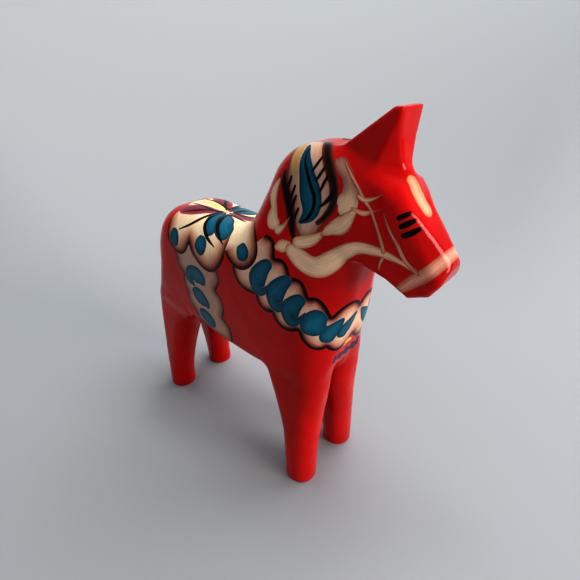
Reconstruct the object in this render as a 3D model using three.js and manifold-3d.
// Dala horse, the wooden toy horse of Dalarna, in millimetres.
// +X is the way the horse faces, +Y its left side, +Z up; the feet stand on z = 0 and the
// middle of the bounding box is over the origin.
import * as THREE from 'three';
import { LoftGeometry } from 'three/addons/geometries/LoftGeometry.js';
import { ConvexGeometry } from 'three/addons/geometries/ConvexGeometry.js';
import { mergeVertices, toCreasedNormals } from 'three/addons/utils/BufferGeometryUtils.js';
import Module from 'manifold-3d';

// ---- driving dimensions --------------------------------------------------------------------
const PLANK_HALF = 22.1;        // half the thickness of the sawn pine block
const BELLY_Z = 64.5;           // underside of the trunk
const BACK_Z = 126.5;           // top of the back
const CREST_Z = 165.8;          // top of the neck
const EAR_TIP_Z = 178.6;        // overall height
const FOOT_R = 7.8;             // radius of a foot where it stands
const FOOT_Y = 16;              // side distance of a foot's middle from the centre plane
const FRONT_FOOT_X = 32.5;
const HIND_FOOT_X = -75.5;
const LABEL_W = 19;             // printed maker's label on the breast
const LABEL_H = 13;
const LABEL_Z = 81.5;
const LABEL_GAP = 0.35;
const LABEL_THICK = 0.4;
const RING = 44;                // points round one section

const LACQUER = new THREE.MeshStandardMaterial({ color: 0xc4201a, roughness: 0.2, metalness: 0 });
const FILM = new THREE.MeshStandardMaterial({ color: 0x232f63, roughness: 0.3, metalness: 0 });

// ---- helpers -------------------------------------------------------------------------------
const wasm = await Module();
wasm.setup();

// A superellipse: power 2 is an ellipse, a higher power a rounded rectangle.
function superellipse(halfU, halfV, power) {
  const points = [];
  for (let i = 0; i < RING; i += 1) {
    const angle = (2 * Math.PI * i) / RING;
    const c = Math.cos(angle);
    const s = Math.sin(angle);
    points.push([
      halfU * Math.sign(c) * Math.abs(c) ** (2 / power),
      halfV * Math.sign(s) * Math.abs(s) ** (2 / power),
    ]);
  }
  return points;
}

// Section standing across the horse at x, from zLow to zHigh.
function uprightSection({ x, zLow, zHigh, half, power }) {
  const middle = (zLow + zHigh) / 2;
  return superellipse(half, (zHigh - zLow) / 2, power)
    .map(([y, z]) => new THREE.Vector3(x, y, middle + z));
}

// Level section at height z, from xBack to xFront, its middle yMid off the centre plane.
function levelSection({ z, xBack, xFront, yMid = 0, half, power }) {
  const middle = (xBack + xFront) / 2;
  return superellipse((xFront - xBack) / 2, half, power)
    .map(([x, y]) => new THREE.Vector3(middle + x, yMid + y, z));
}

function loft(sections) {
  return new LoftGeometry(sections, { capStart: true, capEnd: true });
}

function toSolid(geometry) {
  const bare = new THREE.BufferGeometry().copy(geometry);
  bare.deleteAttribute('normal');
  bare.deleteAttribute('uv');
  const merged = mergeVertices(bare, 1e-4);
  return new wasm.Manifold(new wasm.Mesh({
    numProp: 3,
    vertProperties: new Float32Array(merged.attributes.position.array),
    triVerts: new Uint32Array(merged.index.array),
  }));
}

function toMesh(solid, name, material) {
  const data = solid.getMesh();
  const geometry = new THREE.BufferGeometry();
  geometry.setAttribute('position', new THREE.BufferAttribute(data.vertProperties, 3));
  geometry.setIndex(new THREE.BufferAttribute(data.triVerts, 1));
  const mesh = new THREE.Mesh(toCreasedNormals(geometry, Math.PI / 5), material);
  mesh.name = name;
  return mesh;
}

// ---- trunk: sawn from the plank, its long edges rounded with the knife ----------------------
const trunk = loft([
  { x: -79.2, zLow: 68, zHigh: 84, half: 10, power: 2.4 },
  { x: -78.2, zLow: 66.5, zHigh: 93, half: 14.5, power: 2.6 },
  { x: -75.5, zLow: 65.5, zHigh: 105, half: 18.5, power: 2.8 },
  { x: -70, zLow: BELLY_Z + 0.5, zHigh: 116, half: 21, power: 3 },
  { x: -62, zLow: BELLY_Z, zHigh: 124.5, half: PLANK_HALF, power: 3 },
  { x: -48, zLow: BELLY_Z, zHigh: 127.5, half: PLANK_HALF, power: 3 },
  { x: -28, zLow: BELLY_Z, zHigh: BACK_Z, half: PLANK_HALF, power: 3 },
  { x: -8, zLow: BELLY_Z, zHigh: BACK_Z, half: PLANK_HALF, power: 3 },
  { x: 10, zLow: BELLY_Z, zHigh: BACK_Z, half: PLANK_HALF, power: 3 },
  { x: 28, zLow: BELLY_Z, zHigh: 125, half: PLANK_HALF, power: 3 },
  { x: 38, zLow: BELLY_Z, zHigh: 123, half: 20.8, power: 3 },
  { x: 42, zLow: 65, zHigh: 122, half: 18, power: 2.8 },
  { x: 44.5, zLow: 74, zHigh: 121, half: 15, power: 2.6 },
  { x: 46.5, zLow: 85, zHigh: 120, half: 13, power: 2.4 },
  { x: 48.5, zLow: 94, zHigh: 119, half: 10, power: 2.3 },
  { x: 49.8, zLow: 102, zHigh: 117, half: 6, power: 2.2 },
].map(uprightSection));

// ---- breast and neck: the same plank, thinned towards the crest -----------------------------
const neck = loft([
  { z: 76, xBack: -14, xFront: 44.3, half: 21, power: 3.6 },
  { z: 86, xBack: -14, xFront: 46.7, half: 21.5, power: 3.2 },
  { z: 96, xBack: -14, xFront: 48.9, half: 21.8, power: 3 },
  { z: 112, xBack: -12, xFront: 51, half: 21.8, power: 3 },
  { z: 122, xBack: -9, xFront: 52.5, half: 20.8, power: 2.9 },
  { z: 128, xBack: -5, xFront: 54, half: 19.8, power: 2.8 },
  { z: 134, xBack: 0.8, xFront: 55.5, half: 18.8, power: 2.7 },
  { z: 146, xBack: 9.3, xFront: 58, half: 16.8, power: 2.7 },
  { z: 153, xBack: 13, xFront: 57, half: 15.3, power: 2.6 },
  { z: 159, xBack: 17, xFront: 53.5, half: 12.8, power: 2.5 },
  { z: 163, xBack: 22, xFront: 49, half: 9.5, power: 2.4 },
  { z: CREST_Z, xBack: 29, xFront: 41, half: 4.5, power: 2.2 },
].map(levelSection));

// ---- legs: whittled round at the foot, widening into the trunk ------------------------------
const FRONT_LEG = [
  { z: 0, xBack: FRONT_FOOT_X - FOOT_R, xFront: FRONT_FOOT_X + FOOT_R, yMid: FOOT_Y, half: FOOT_R, power: 2 },
  { z: 15, xBack: 23.7, xFront: 40.7, yMid: 15.6, half: 8, power: 2.1 },
  { z: 30, xBack: 21.3, xFront: 41.2, yMid: 14.4, half: 8.8, power: 2.2 },
  { z: 46, xBack: 16.2, xFront: 42, yMid: 12.9, half: 9.9, power: 2.4 },
  { z: 56, xBack: 12, xFront: 43, yMid: 11.8, half: 10.9, power: 2.6 },
  { z: 64, xBack: 8, xFront: 43.8, yMid: 11, half: 11.6, power: 2.8 },
  { z: 72, xBack: 7, xFront: 44.6, yMid: 10.6, half: 11.6, power: 2.8 },
  { z: 92, xBack: 10, xFront: 42, yMid: 10, half: 10, power: 2.6 },
];
const HIND_LEG = [
  { z: 0, xBack: HIND_FOOT_X - FOOT_R, xFront: HIND_FOOT_X + FOOT_R, yMid: FOOT_Y, half: FOOT_R, power: 2 },
  { z: 15, xBack: -82.9, xFront: -66.7, yMid: 15.6, half: 8, power: 2.1 },
  { z: 31, xBack: -83.6, xFront: -63.4, yMid: 14.4, half: 8.8, power: 2.2 },
  { z: 46, xBack: -83.8, xFront: -58.6, yMid: 12.9, half: 9.9, power: 2.4 },
  { z: 58, xBack: -83.4, xFront: -52.5, yMid: 11.6, half: 10.9, power: 2.6 },
  { z: 65, xBack: -82.4, xFront: -46, yMid: 11, half: 11.4, power: 2.7 },
  { z: 76, xBack: -80.4, xFront: -48, yMid: 10.4, half: 11.2, power: 2.7 },
  { z: 92, xBack: -77, xFront: -52, yMid: 9.5, half: 9.5, power: 2.6 },
];

function leg(stations, side) {
  return loft(stations.map((s) => levelSection({ ...s, yMid: side * s.yMid })));
}

// ---- head: cut with flat knife facets, narrow along the forehead ----------------------------
const HEAD_CORNERS = [
  [52, 7.5, 160], [61.8, 6, 160.3], [65.5, 8.6, 156.8], [74, 6.6, 146.2], [82.9, 3.6, 134.9],
  [83.8, 3.6, 132.8], [63.5, 12, 153.6], [69.5, 10.2, 143.6], [80.6, 8, 131.4],
  [80.5, 7, 123.4], [73.4, 7, 119.8], [64.6, 10, 125], [53, 12.5, 130.2], [42, 13, 136],
  [40, 12.5, 150], [45, 7, 159], [54, 12.5, 154],
];

// ---- ear: one block standing on the poll, spreading a little towards its flat top -----------
const EAR_CORNERS = [
  [60.8, 8.2, EAR_TIP_Z], [57.3, 6.8, EAR_TIP_Z], [62.2, 4.8, 158], [35.5, 3.4, 160],
  [40.3, 3.6, 164.8], [48, 4.8, 150],
];

function mirroredHull(corners) {
  const points = corners.flatMap(([x, y, z]) => [
    new THREE.Vector3(x, y, z),
    new THREE.Vector3(x, -y, z),
  ]);
  return new ConvexGeometry(points);
}

const trunkSolid = toSolid(trunk);
const body = [
  neck,
  leg(FRONT_LEG, 1), leg(FRONT_LEG, -1),
  leg(HIND_LEG, 1), leg(HIND_LEG, -1),
  mirroredHull(HEAD_CORNERS),
  mirroredHull(EAR_CORNERS),
].map(toSolid).reduce((sum, solid) => sum.add(solid), trunkSolid);

// ---- label: a thin printed film that follows the rounded breast -----------------------------
const labelArea = toSolid(new THREE.BoxGeometry(30, LABEL_W, LABEL_H).translate(50, 0, LABEL_Z));
const label = body.translate([LABEL_GAP + LABEL_THICK, 0, 0])
  .subtract(body.translate([LABEL_GAP, 0, 0]))
  .intersect(labelArea);

const group = new THREE.Group();
group.name = 'dala_horse';
group.add(toMesh(body, 'carved_body', LACQUER));
group.add(toMesh(label, 'breast_label', FILM));

export default group;
